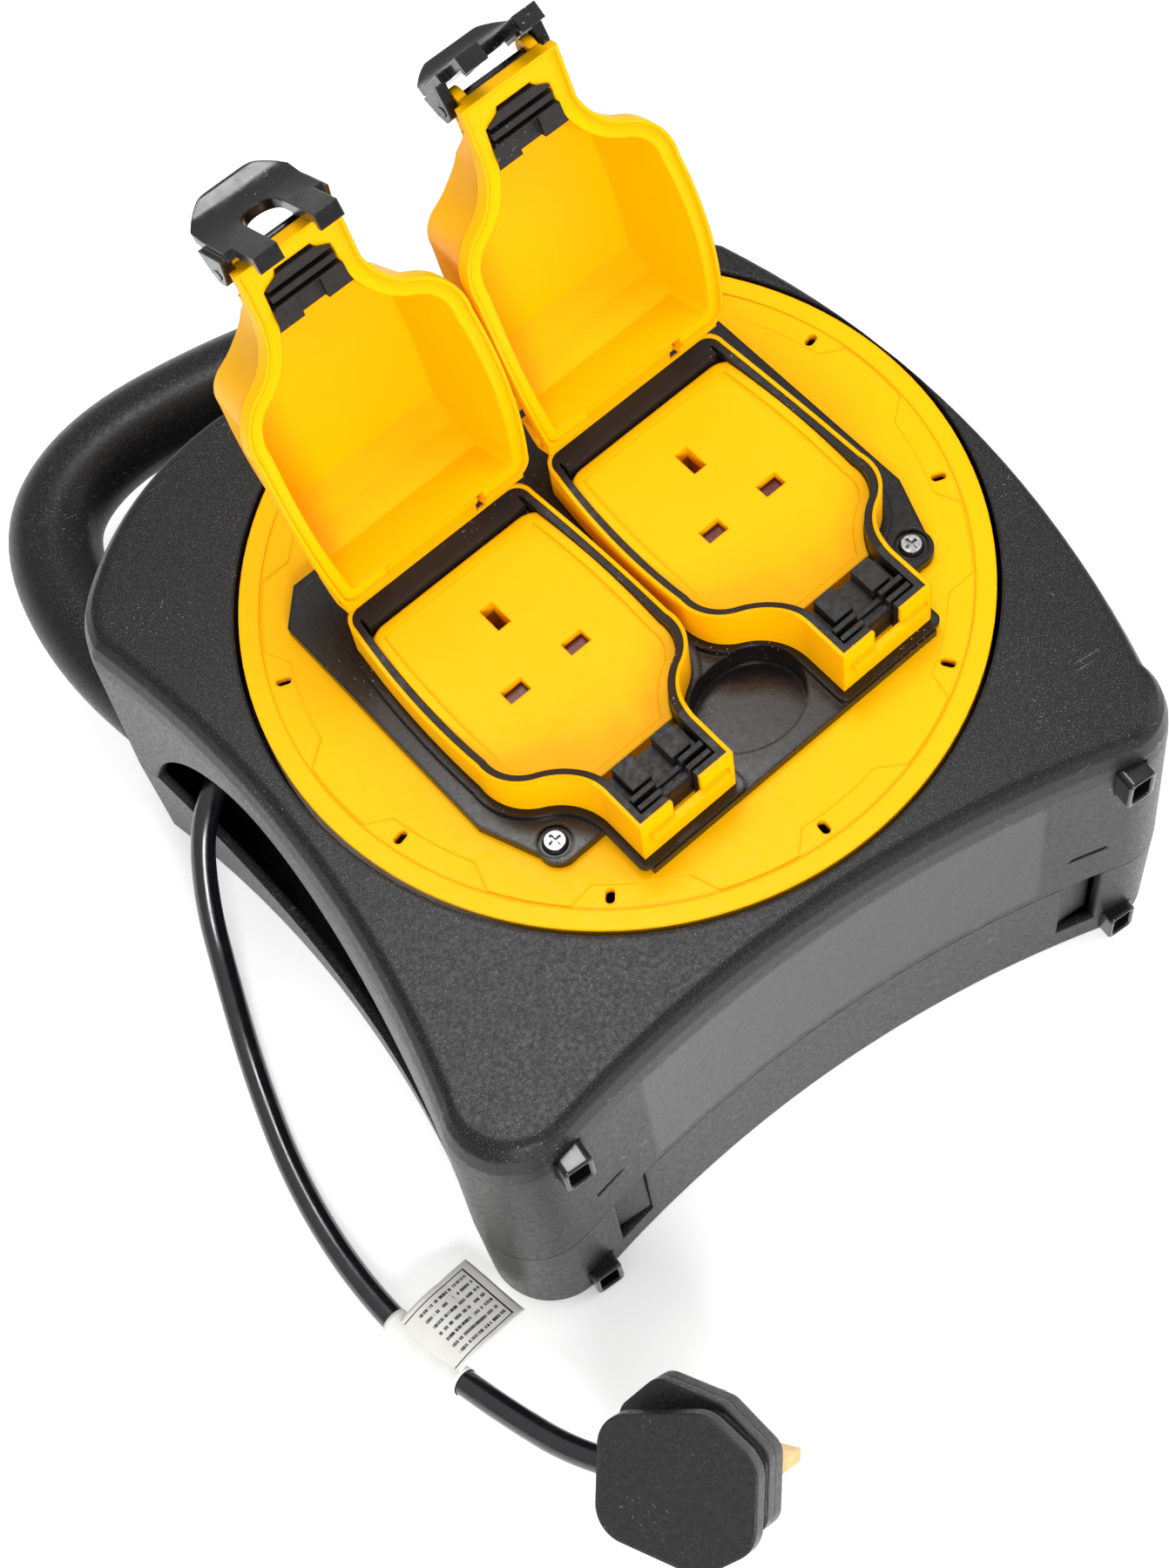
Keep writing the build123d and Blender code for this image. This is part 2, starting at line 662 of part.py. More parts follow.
for number, s in enumerate(sides, start=1):
    x = s * socket_x
    with BuildPart() as hollow:
        with BuildSketch(lid_plane(x, rim_low)):
            add(lid_plan(-4))
        extrude(amount=45, taper=lid_taper)
        lid_crown(x, lid_wall)

    with BuildPart() as flange:  # band round the rim, which steps out from the body
        with BuildSketch(lid_plane(x, rim_low)):
            add(lid_plan())
        extrude(amount=22)
        with BuildSketch(lid_side(x + 60)) as over_flange:
            with BuildLine():
                ThreePointArc((-12, -2), (40, -7), (84, 0.5))
                Polyline((84, 0.5), (90, 2.5), (130, 2.5), (130, 30), (-12, 30), (-12, -2))
            make_face()
        extrude(over_flange.sketch, amount=120, mode=Mode.SUBTRACT)

    with BuildPart() as lid:
        with BuildSketch(lid_plane(x, rim_low)):
            add(lid_plan(-1.3))
        extrude(amount=45, taper=lid_taper)
        lid_crown(x, 0)
        add(flange.part)
        add(hollow.part, mode=Mode.SUBTRACT)
        with BuildSketch(lid_plane(x, rim_low - 1)) as ledge_plan:  # step inside the rim
            add(lid_plan(-1.1))
        with BuildPart(mode=Mode.PRIVATE) as ledge:
            add(extrude(ledge_plan.sketch, amount=24, mode=Mode.PRIVATE))
            with BuildSketch(lid_side(x + 60)) as over_ledge:
                with BuildLine():
                    ThreePointArc((-8, -4.6), (40, -9.9), (87, -1.7))
                    Polyline((87, -1.7), (91, -0.7), (130, -0.7), (130, 40), (-8, 40), (-8, -4.6))
                make_face()
            extrude(over_ledge.sketch, amount=120, mode=Mode.SUBTRACT)
        add(ledge.part, mode=Mode.SUBTRACT)
        below_rim(x, 0)
        for side in sides:  # hinge tabs
            with BuildSketch(lid_side(x + side * 25.2 + 7)) as tab:
                with BuildLine():
                    Polyline((-3.6, -3.4), (-3.6, 2.5), (-1, 4), (6, 6), (6, -5.5), (1.5, -5.5), (-3.6, -3.4))
                make_face()
            extrude(tab.sketch, amount=14)
        with BuildSketch(lid_side(x + 17.6)) as knuckle_gap:
            with BuildLine():
                Polyline((-6, -9), (5.2, -9), (5.2, 6.5), (-6, 6.5), (-6, -9))
            make_face()
        extrude(knuckle_gap.sketch, amount=35.2, mode=Mode.SUBTRACT)
        with BuildSketch(lid_side(x + 40)) as pin_bore:
            Circle(pin_r)
        extrude(pin_bore.sketch, amount=80, mode=Mode.SUBTRACT)
        for side in sides:  # cheeks at the spout's end for the latch's pivot
            with BuildSketch(lid_side(x + side * 12.4 + 1.6)) as cheek:
                with Locations((latch_u, latch_h)):
                    Circle(4)
                with Locations((latch_u - 5, latch_h - 1)):
                    Rectangle(10, 6)
            extrude(cheek.sketch, amount=3.2)
        for side in sides:
            with BuildSketch(lid_side(x + side * 16 + 2.2)) as latch_room:
                with Locations((latch_u + 1, latch_h + 6.5)):
                    Rectangle(13, 24)
            extrude(latch_room.sketch, amount=4.4, mode=Mode.SUBTRACT)
        with BuildSketch(lid_side(x + 30)) as pivot_bore:
            with Locations((latch_u, latch_h)):
                Circle(pin_r)
        extrude(pivot_bore.sketch, amount=60, mode=Mode.SUBTRACT)
    save(lid, f"lid_{number}")

    with BuildPart() as hinge_pin:
        with BuildSketch(lid_side(x + 31)):
            Circle(pin_r)
        extrude(amount=62)
    save(hinge_pin, f"hinge_pin_{number}")

    with BuildPart() as lid_seal:
        with BuildSketch(lid_plane(x, -1.6)):
            with Locations((0, 90)):
                Rectangle(25, 6.8)
            with Locations((0, 97.5)):
                Rectangle(21, 10)
        extrude(amount=14)
        add(hollow.part, mode=Mode.INTERSECT)
        for u in (94.7, 98.4):  # grooves between the ribs
            with BuildSketch(lid_plane(x, -2)):
                with Locations((0, u)):
                    Rectangle(24, 1.6)
            extrude(amount=4, mode=Mode.SUBTRACT)
        with BuildSketch(lid_plane(x, -2)):
            with Locations((0, 90)):
                Rectangle(8, 7)
        extrude(amount=2.4, mode=Mode.SUBTRACT)
    save(lid_seal, f"lid_seal_{number}")

    rest = latch_open[number - 1]
    with BuildPart() as latch:
        with BuildSketch(latch_side(x + 16, rest)) as plate:
            with BuildLine():
                Polyline((5.2, -20.6), (8.4, -20.6), (8.4, 4), (9.6, 9), (13.5, 13.4))
                ThreePointArc((13.5, 13.4), (13.4, 15.4), (11.6, 15.2))
                Polyline((11.6, 15.2), (7, 10.4), (5.2, 4), (5.2, -20.6))
            make_face()
        extrude(plate.sketch, amount=32)
        for side in sides:  # cheeks round the pivot, and the hooked arms
            with BuildSketch(latch_side(x + side * 16 + 1.6, rest)) as cheek:
                with BuildLine():
                    Polyline((-3.2, 0), (-3, -2), (0, -4), (6, -7), (6, 6), (0, 4.4), (-3, 2.4), (-3.2, 0))
                make_face()
                Circle(pin_r + 0.1, mode=Mode.SUBTRACT)
            extrude(cheek.sketch, amount=3.2)
            with BuildSketch(latch_side(x + side * 9.6 + 3.8, rest)) as arm:
                with BuildLine():
                    Polyline((6, -20.6), (3.4, -20.6), (3.4, -18.5), (5.2, -18.5), (6, -16), (6, -20.6))
                make_face()
            extrude(arm.sketch, amount=7.6)
        for side in sides:  # narrower below the pivot, so that the arms pass the frame's spout
            with BuildSketch(latch_side(x + side * 15.4 + 2, rest)) as relief:
                with Locations((7, -15.4)):
                    Rectangle(9, 14)
            extrude(relief.sketch, amount=4, mode=Mode.SUBTRACT)
        for side in sides:  # short ribs beside the window
            with BuildSketch(latch_face(x + side * 7.2, rest, 3.6)) as rib:
                with Locations((0, -8.75)):
                    Rectangle(1.6, 9.5)
            extrude(rib.sketch, amount=1.8)
        with BuildSketch(latch_face(x, rest, -8)) as outline:  # bowed lip and arched window
            with BuildLine():
                Polyline((18, 7), (18, -22), (-18, -22), (-18, 7))
                ThreePointArc((-18, 7), (0, 15.6), (18, 7))
            make_face()
            with Locations((0, -13)):
                Rectangle(window_span, 22, mode=Mode.SUBTRACT)
            with Locations((0, -2)):
                Circle(window_span / 2, mode=Mode.SUBTRACT)
        extrude(outline.sketch, amount=30, mode=Mode.INTERSECT)
    save(latch, f"latch_{number}")

    with BuildPart() as latch_pin:
        with BuildSketch(lid_side(x + 17.8)) as rod:
            with Locations((latch_u, latch_h)):
                Circle(pin_r)
        extrude(rod.sketch, amount=35.6)
    save(latch_pin, f"latch_pin_{number}")

# ---- free cord and plug -------------------------------------------------------------------------
plug_face = Vector(-127.1, -205.8, 46.1)  # middle of the cover's face
plug_out = Vector(0.593, 0.146, -0.792).normalized()  # the way that the pins point
plug_up = Vector(0.601, -0.735, 0.314)  # from the cord entry to the earth pin
plug_up = (plug_up - plug_out * plug_up.dot(plug_out)).normalized()
plug_depth = 22
plug_entry = plug_face + plug_out * 8.8 - plug_up * 21.02
cord_route = [(-101, 65, 52), (-117, 58, 51.5), (-133, 47.5, 45), (-144, 33, 27), (-152, 12, 10),
              (-160.5, -17, 4), (-167.5, -53, 4), (-168.5, -89, 5), (-163, -124, 9.5), (-153, -154, 18.5)]
points = [Vector(*p) for p in cord_route] + [plug_entry - plug_up * 14, plug_entry]
radii = []
for before, at, after in zip(points, points[1:], points[2:]):
    turn = (at - before).get_angle(after - at)
    radii.append(0.45 * min((at - before).length, (after - at).length) / tan(radians(turn / 2)))
print("cord radii", [round(r) for r in radii])
print("cord runs", [round((b - a).length) for a, b in zip(points, points[1:])])
with BuildPart() as free_cord:
    with BuildLine() as cord_path:
        FilletPolyline(*points, radius=radii)
    with BuildSketch(Plane(origin=cord_path.line @ 0, z_dir=cord_path.line % 0)):
        Circle(cord_r)
    sweep(path=cord_path.line)
length = sum(edge.length for edge in cord_path.edges())
swept = free_cord.part.volume / (pi * cord_r**2 * length)
print("cord length", round(length), "volume ratio", round(swept, 4))
save(free_cord, "free_cord")


def plug_plane(depth):
    """Plane of the plug, a depth behind its cover's face: its x runs to the earth pin."""
    return Plane(origin=plug_face + plug_out * depth, x_dir=plug_up, z_dir=plug_out)


def plug_cover_plan(scale=1.0):
    """Shield shape of the cover, narrower at the cord."""
    with BuildSketch(mode=Mode.PRIVATE) as shape:
        with BuildLine():
            Polyline((-25, -16.5), (-25, 16.5), (8, 23), (24.5, 12), (24.5, -12), (8, -23), (-25, -16.5))
        make_face()
        fillet(shape.vertices(), 10)
    return shape.sketch.scale(scale)


def plug_base_plan():
    """Shield shape of the base, narrower at the earth pin."""
    with BuildSketch(mode=Mode.PRIVATE) as shape:
        with BuildLine():
            Polyline((-25, -15), (-25, 15), (-14, 25.5), (7, 21.5), (21.8, 10.5), (21.8, -10.5),
                     (7, -21.5), (-14, -25.5), (-25, -15))
        make_face()
        fillet(shape.vertices(), 6)
    return shape.sketch


with BuildPart() as plug_cover:
    with BuildSketch(plug_plane(0)):
        add(plug_cover_plan())
    extrude(amount=4.5)
    with BuildSketch(plug_plane(4.5)):  # waist
        add(plug_cover_plan(0.84))
    extrude(amount=8.5)
    with BuildSketch(plug_plane(13)):  # the cover's half of the flange
        add(plug_base_plan())
    extrude(amount=4)
    with BuildSketch(plug_plane(5)):  # room for the terminals and the fuse
        Rectangle(32, 24)
    extrude(amount=12, mode=Mode.SUBTRACT)
save(plug_cover, "plug_cover")

pin_places = [((13.5, 0), (8, 4)), ((-8.7, 11.1), (4, 6.3)), ((-8.7, -11.1), (4, 6.3))]


def plug_pin_plan():
    """The three flat pins."""
    with BuildSketch(mode=Mode.PRIVATE) as pins:
        for (px, py), (w, d) in pin_places:
            with Locations((px, py)):
                Rectangle(w, d)
    return pins.sketch


with BuildPart() as plug_base:
    with BuildSketch(plug_plane(17)):
        add(plug_base_plan())
        add(plug_pin_plan(), mode=Mode.SUBTRACT)
    extrude(amount=plug_depth - 17)
save(plug_base, "plug_base")

with BuildPart() as plug_pins:
    with BuildSketch(plug_plane(17)):
        add(plug_pin_plan())
    extrude(amount=plug_depth - 17 + 22)
save(plug_pins, "plug_pins")

with BuildPart() as plug_fuse:
    with BuildSketch(Plane(origin=plug_plane(9).from_local_coords(Vector(1, -11, 0)),
                           z_dir=plug_plane(9).y_dir)):
        Circle(3.1)
    extrude(amount=22)
save(plug_fuse, "plug_fuse")

label_length = 30
label_arc = cord_path.edges().filter_by(GeomType.CIRCLE).sort_by_distance(points[8])[0]
label_half = min(0.46, label_length / 2 / label_arc.length)
label_path = label_arc.trim(0.5 - label_half, 0.5 + label_half)
label_middle = label_arc @ 0.5
label_side = Vector(0, 0, 1).cross(label_arc % 0.5).normalized()
with BuildPart() as cord_label:
    with BuildSketch(Plane(origin=label_path @ 0, z_dir=label_path % 0)):
        Circle(cord_r + 0.35)
        Circle(cord_r, mode=Mode.SUBTRACT)
    sweep(path=label_path)
    with BuildSketch(Plane(origin=label_middle - (label_arc % 0.5) * 13, x_dir=label_side,
                           z_dir=label_arc % 0.5)):
        with BuildLine():
            top = Spline((0, cord_r + 0.35), (8, 4.7), (17, 1.6), (27, -1.5))
            Line(top @ 1, (27, -1.9))
            Spline((27, -1.9), (17, 1.2), (8, 4.3), (0, cord_r + 0.05))
            Line((0, cord_r + 0.05), top @ 0)
        make_face()
    extrude(amount=26)
save(cord_label, "cord_label")
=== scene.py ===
"""Looks of the extension cord reel: camera, light, floor, materials, and the pieces whose detail is
finer than the frame's solids.  Metres, in the frame's own coordinates; a section that works in
millimetres says so."""
import json
from math import cos, pi, radians, sin

import bpy
from mathutils import Matrix, Vector


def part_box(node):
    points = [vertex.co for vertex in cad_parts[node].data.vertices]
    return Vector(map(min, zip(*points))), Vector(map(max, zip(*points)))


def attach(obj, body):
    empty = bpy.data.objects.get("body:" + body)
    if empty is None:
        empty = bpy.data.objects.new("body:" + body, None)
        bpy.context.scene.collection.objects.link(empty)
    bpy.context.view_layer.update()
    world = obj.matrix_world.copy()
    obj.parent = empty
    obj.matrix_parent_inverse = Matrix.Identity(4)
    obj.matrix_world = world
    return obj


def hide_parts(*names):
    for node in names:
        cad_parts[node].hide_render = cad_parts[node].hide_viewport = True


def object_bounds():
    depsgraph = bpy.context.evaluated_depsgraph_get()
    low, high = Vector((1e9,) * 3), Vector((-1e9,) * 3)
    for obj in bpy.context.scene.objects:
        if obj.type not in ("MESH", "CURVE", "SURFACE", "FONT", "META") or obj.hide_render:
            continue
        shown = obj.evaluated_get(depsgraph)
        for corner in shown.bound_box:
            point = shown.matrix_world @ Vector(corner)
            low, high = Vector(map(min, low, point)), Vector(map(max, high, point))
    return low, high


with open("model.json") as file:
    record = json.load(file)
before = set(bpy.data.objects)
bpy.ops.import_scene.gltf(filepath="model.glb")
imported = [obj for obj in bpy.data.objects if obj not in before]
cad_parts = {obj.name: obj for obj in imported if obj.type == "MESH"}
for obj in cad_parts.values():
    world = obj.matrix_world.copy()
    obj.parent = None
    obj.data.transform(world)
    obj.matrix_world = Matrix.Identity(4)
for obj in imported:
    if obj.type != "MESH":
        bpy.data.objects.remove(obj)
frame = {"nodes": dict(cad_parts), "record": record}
cad_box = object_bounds()
nodes = frame["nodes"]
mm = 0.001
up = Vector((0, 0, 1))


# ---- node trees ---------------------------------------------------------------------------------
class Nodes:
    """Short ways to add and join the nodes of a tree."""

    def __init__(self, tree):
        self.tree = tree

    def join(self, socket, value):
        """Joins a socket to an output, or gives it a value."""
        if isinstance(value, bpy.types.NodeSocket):
            self.tree.links.new(value, socket)
        else:
            socket.default_value = value

    def node(self, kind, inputs=(), **settings):
        """New node: its settings, then each input as a value or as an output to join."""
        made = self.tree.nodes.new(kind)
        for key, value in settings.items():
            setattr(made, key, value)
        for key, value in dict(inputs).items():
            self.join(made.inputs[key], value)
        return made

    def math(self, operation, *values):
        """Result of one step of arithmetic."""
        return self.node("ShaderNodeMath", enumerate(values), operation=operation).outputs[0]

    def axis(self, vector, letter):
        """One coordinate of a vector."""
        return self.node("ShaderNodeSeparateXYZ", {"Vector": vector}).outputs[letter]

    def remap(self, value, low, high, to_low, to_high):
        """A value's range, changed and clamped."""
        made = self.node("ShaderNodeMapRange", {"Value": value, "From Min": low, "From Max": high,
                                                "To Min": to_low, "To Max": to_high})
        return made.outputs["Result"]

    def mix(self, factor, a, b):
        """Colour between a and b."""
        made = self.node("ShaderNodeMix", data_type="RGBA")
        for socket, value in ((made.inputs[0], factor), (made.inputs[6], a), (made.inputs[7], b)):
            self.join(socket, value)
        return made.outputs[2]


class Shader(Nodes):
    """A new material, its surface, and the place that its patterns are drawn by."""

    def __init__(self, name):
        self.material = bpy.data.materials.new(name)
        self.material.use_nodes = True
        super().__init__(self.material.node_tree)
        self.surface = self.tree.nodes["Principled BSDF"]
        self.place = self.node("ShaderNodeTexCoord").outputs["Object"]

    def noise(self, scale, detail=2.0, rough=0.5, place=None):
        """Value of a noise of so many cells a metre."""
        made = self.node("ShaderNodeTexNoise", {"Vector": place or self.place, "Scale": scale,
                                                "Detail": detail, "Roughness": rough})
        return made.outputs["Fac"]

    def set(self, **inputs):
        """Sets or joins inputs of the surface; an underscore stands for a space."""
        for key, value in inputs.items():
            self.join(self.surface.inputs[key.replace("_", " ")], value)

    def relief(self, height, depth, edge=0.0):
        """Bump of a depth over edges that look rounded by a radius."""
        inputs = {"Height": height, "Distance": depth, "Strength": 1.0}
        if edge:
            inputs["Normal"] = self.node("ShaderNodeBevel", {"Radius": edge}, samples=4).outputs["Normal"]
        self.set(Normal=self.node("ShaderNodeBump", inputs).outputs["Normal"])


# ---- camera, floor and light --------------------------------------------------------------------
def set_camera():
    """A fairly long lens, above and outside the reel's near left corner."""
    data = bpy.data.cameras.new("camera")
    data.lens = 62.78
    data.sensor_width = 36
    data.shift_x = -0.0356
    data.shift_y = -0.0917
    data.clip_end = 20
    camera = bpy.data.objects.new("camera", data)
    bpy.context.scene.collection.objects.link(camera)
    place = Vector((-0.17345, -0.35702, 0.81356))
    right = Vector((0.823, -0.563, -0.074))
    top = Vector((0.526, 0.706, 0.474))
    back = right.cross(top).normalized()
    top = back.cross(right.normalized())
    turn = Matrix((right.normalized(), top, back)).transposed().to_4x4()
    camera.matrix_world = Matrix.Translation(place) @ turn
    bpy.context.scene.camera = camera


def set_floor():
    """White paper, with a slight glow of its own that keeps it white beside the reel."""
    half, gap = 6, 0.2 * mm
    corners = [(-half, -half, 0), (half, -half, 0), (half, half, 0), (-half, half, 0)]
    mesh = bpy.data.meshes.new("floor")
    mesh.from_pydata(corners, [], [(0, 1, 2, 3)])
    paper = Shader("floor_paper")
    paper.set(Base_Color=(0.97, 0.97, 0.97, 1), Roughness=0.9, Emission_Color=(1, 1, 1, 1),
              Emission_Strength=0.3)
    mesh.materials.append(paper.material)
    floor = bpy.data.objects.new("floor", mesh)
    floor.location.z = min(0, cad_box[0][2]) - gap
    bpy.context.scene.collection.objects.link(floor)


def set_world():
    """Pale surroundings, brighter overhead than at the horizon."""
    world = bpy.data.worlds.new("studio")
    world.use_nodes = True
    horizon, overhead = 0.42, 0.78
    sky = Nodes(world.node_tree)
    height = sky.axis(sky.node("ShaderNodeTexCoord").outputs["Generated"], "Z")
    backdrop = world.node_tree.nodes["Background"]
    backdrop.inputs["Strength"].default_value = 1.0
    sky.join(backdrop.inputs["Color"], sky.remap(height, -0.1, 0.9, horizon, overhead))
    bpy.context.scene.world = world
    bpy.context.scene.view_settings.view_transform = "Standard"


def area_light(name, place, target, size, watts):
    """A square soft box that faces a target."""
    data = bpy.data.lights.new(name, "AREA")
    data.size = size
    data.energy = watts
    lamp = bpy.data.objects.new(name, data)
    lamp.location = place
    lamp.rotation_euler = (Vector(target) - Vector(place)).to_track_quat("-Z", "Y").to_euler()
    bpy.context.scene.collection.objects.link(lamp)


def set_lights():
    """Three soft boxes: one overhead and behind, one on the right, one in front."""
    area_light("key", (0.08, 0.3, 1.35), (0, 0, 0.1), size=0.4, watts=6)
    area_light("fill", (1.2, -0.5, 0.9), (0, 0, 0.1), size=0.7, watts=5)
    area_light("front", (-0.5, -1.25, 0.75), (0, -0.05, 0.12), size=0.5, watts=15)


# ---- materials ----------------------------------------------------------------------------------
# grey of the painted glints, painted highlights on the grain
painted_glint_colour = (0.34, 0.34, 0.36, 1)
scratch_colour = (0.28, 0.28, 0.28, 1)
dust_colour = (0.5, 0.47, 0.42, 1)
# lighter black painted on the smoother panel, a painted sheen
painted_sheen_colour = (0.022, 0.022, 0.023, 1)
satin_and_sheen_panel = ((-0.078, -0.14, 0.053), (0.059, -0.1, 0.112))  # two corners, on the case's front wall, of a smoother panel that is also painted lighter as a sheen
satin_gloss = 0.14  # how much less rough the panel is
case_black = (0.006, 0.006, 0.007)


def add_painted_glints(s, base, grain, amount):
    """Painted glints: grey flecks on the grain's high points, painted stronger on upward faces as light
    caught from above.
    """
    normal = s.node("ShaderNodeNewGeometry").outputs["Normal"]
    level = s.remap(s.axis(normal, "Z"), 0.9, 0.995, 0.45, 1)
    points = s.remap(s.noise(grain * 1.6, 2, 0.6), 0.58, 0.74, 0, amount)
    return s.mix(s.math("MULTIPLY", points, level), base, painted_glint_colour)


def add_scuffs(s, base, amount):
    """Long faint scratches, in patches."""
    stretched = s.node("ShaderNodeMapping", {"Vector": s.place, "Rotation": (0, 0, 0.7),
                                             "Scale": (1, 14, 3)}).outputs["Vector"]
    lines = s.remap(s.noise(95, 2, 0.5, stretched), 0.68, 0.76, 0, 1)
    patches = s.remap(s.noise(16, 2), 0.55, 0.7, 0, amount)
    return s.mix(s.math("MULTIPLY", lines, patches), base, scratch_colour)


def add_dust(s, base, amount):
    """Pale specks, in patches."""
    specks = s.remap(s.noise(1300, 1, 0.4), 0.71, 0.75, 0, 1)
    patches = s.remap(s.noise(38, 2), 0.52, 0.66, 0, amount)
    return s.mix(s.math("MULTIPLY", specks, patches), base, dust_colour)


def inside_box(s, low, high):
    """1 between two corners of a box and 0 outside it, with a soft border."""
    border = 1 * mm
    inside = 1.0
    for letter, start, end in zip("XYZ", low, high):
        middle, half = (start + end) / 2, (end - start) / 2
        off = s.math("ABSOLUTE", s.math("SUBTRACT", s.axis(s.place, letter), middle))
        inside = s.math("MULTIPLY", inside, s.remap(off, half - border, half + border, 1, 0))
    return inside


def plastic(name, colour, rough, grain=900, depth=0.04 * mm, edge=0.8 * mm, second=None, spread=0.12,
            dust=0.0, coat=0.0, painted_glints=0.0, scuffs=0.0, shine=0.5, satin=None):
    """Moulded plastic: a grain of so many cells a metre and a depth, edges that look rounded, gloss
    uneven by a spread, slow drift to a second colour, marks, and painted glints.  satin is the two
    corners of a smoother panel, which is also painted lighter as a sheen."""
    s = Shader(name)
    r, g, b = colour
    drift = s.remap(s.noise(14, 3), 0.3, 0.7, 0, 1)
    base = s.mix(drift, (r, g, b, 1), (*(second or (r * 0.86, g * 0.84, b * 0.84)), 1))
    # painted glints: grey flecks, painted stronger on upward faces
    if painted_glints:
        base = add_painted_glints(s, base, grain, painted_glints)
    if scuffs:
        base = add_scuffs(s, base, scuffs)
    if dust:
        base = add_dust(s, base, dust)
    gloss = s.remap(s.noise(grain * 0.4, 3), 0.3, 0.7, rough - spread, rough + spread)
    # the panel is smoother, and also painted lighter as a painted sheen
    if satin:
        inside = inside_box(s, *satin)
        gloss = s.math("SUBTRACT", gloss, s.math("MULTIPLY", inside, satin_gloss))
        base = s.mix(inside, base, painted_sheen_colour)
    s.set(Base_Color=base, Roughness=gloss, Specular_IOR_Level=shine, Coat_Weight=coat,
          Coat_Roughness=0.12)
    s.relief(s.noise(grain, 2, 0.6), depth, edge)
    return s.material


def metal(name, colour, rough):
    """Worn metal: brushed along one way, with darker stains."""
    s = Shader(name)
    r, g, b = colour
    stains = s.remap(s.noise(160, 4), 0.42, 0.68, 0, 0.55)
    streak = s.node("ShaderNodeMapping", {"Vector": s.place, "Scale": (1, 1, 9)}).outputs["Vector"]
    lines = s.noise(700, 2, 0.6, streak)
    s.set(Base_Color=s.mix(stains, (r, g, b, 1), (r * 0.5, g * 0.4, b * 0.3, 1)), Metallic=1.0,
          Roughness=s.remap(lines, 0.3, 0.7, rough - 0.1, rough + 0.14))
    s.relief(lines, depth=0.03 * mm, edge=0.4 * mm)
    return s.material


def make_materials():
    """One material for each slot of the record."""
    return {
        # the case: painted glints and, on its front panel, a painted sheen, besides real dust and scuffs
        "black_case": plastic("grained_black_painted_glints", case_black, 0.36, grain=1900,
                              depth=0.05 * mm, edge=2 * mm, second=(0.008, 0.008, 0.008), spread=0.08,
                              dust=0.4, painted_glints=0.55, scuffs=0.6, shine=0.24, satin=satin_and_sheen_panel),
        "gloss_black": plastic("gloss_black", case_black, 0.2, grain=500, depth=0.02 * mm,
                               dust=0.5, coat=0.25, shine=0.4),
        "yellow_plastic": plastic("yellow_plastic", (1.0, 0.5, 0.0), 0.36, grain=700, depth=0.012 * mm,
                                  edge=1.1 * mm, second=(0.98, 0.47, 0.0), spread=0.07, dust=0.1,
                                  shine=0.08),
        "panel_plastic": plastic("panel_black", (0.007, 0.0045, 0.004), 0.26, grain=1100,
                                 depth=0.02 * mm, edge=1.2 * mm, second=(0.009, 0.006, 0.005),
                                 spread=0.05, dust=0.9, shine=0.36),
        "seal_rubber": plastic("seal_rubber", (0.009, 0.008, 0.008), 0.5, grain=1300, depth=0.03 * mm,
                               edge=0.5 * mm, dust=0.9, shine=0.4),
        "cord_sheath": plastic("cord_sheath", (0.006, 0.006, 0.008), 0.24, grain=420, depth=0.03 * mm,
                               edge=0, coat=0.5),
        # the plug: painted glints on its grain
        "plug_black": plastic("plug_black", (0.012, 0.012, 0.013), 0.34, grain=1900, depth=0.07 * mm,
                              edge=1.4 * mm, dust=0.3, painted_glints=0.35),
        "label_white": plastic("label_white", (0.8, 0.8, 0.76), 0.55, grain=300, depth=0.03 * mm, edge=0),
        "brass": metal("pin_brass", (0.72, 0.5, 0.2), 0.3),
        "zinc_steel": metal("zinc_steel", (0.42, 0.43, 0.45), 0.26),
        "shutter_red": plastic("shutter_red", (0.13, 0.02, 0.01), 0.35, grain=800, depth=0.02 * mm,
                               edge=0.4 * mm),
    }


def paint_nodes(materials):
    """Gives every CAD node the material of its slot, and the spool the panel's black."""
    for part in frame["record"]["subparts"]:
        obj = nodes[part["node"]]
        material = materials[part["material_slot"]]
        if not obj.material_slots:
            obj.data.materials.append(material)
        for place in obj.material_slots:
            place.material = material
    nodes["cable_spool"].material_slots[0].material = materials["panel_plastic"]


# ---- finishing the frame's own nodes ------------------------------------------------------------
def soften(name, width, segments=3):
    """Rounds a CAD node's hard edges by a width in millimetres."""
    obj = nodes[name]
    weld = obj.modifiers.new("weld", "WELD")
    weld.merge_threshold = 0.002 * mm
    bevel = obj.modifiers.new("round", "BEVEL")
    bevel.width = width * mm
    bevel.segments = segments
    bevel.limit_method = "ANGLE"
    bevel.angle_limit = radians(35)
    bevel.use_clamp_overlap = True
    obj.modifiers.new("even", "WEIGHTED_NORMAL").keep_sharp = False


def soften_nodes():
    """Rounds the plug, the feet, and each socket's latch, seals and face."""
    soften("plug_cover", 2.2, segments=4)
    soften("plug_base", 1.2)
    for number in (1, 2):
        for name, width in (("latch", 0.6), ("base_cord_seal", 0.35), ("lid_seal", 0.35),
                            ("socket_face", 0.5)):
            soften(f"{name}_{number}", width)
    soften("front_feet", 0.7)
    soften("back_feet", 0.7)


# ---- meshes and pieces --------------------------------------------------------------------------
def new_piece(name, mesh, body, slot, material, *replaced):
    """Links a finished mesh as a piece of the object."""
    obj = bpy.data.objects.new(name, mesh)
    bpy.context.scene.collection.objects.link(obj)
    obj.data.materials.append(material)
    for polygon in mesh.polygons:
        polygon.use_smooth = True
    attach(obj, body)
    if replaced:
        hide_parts(*replaced)
    return obj


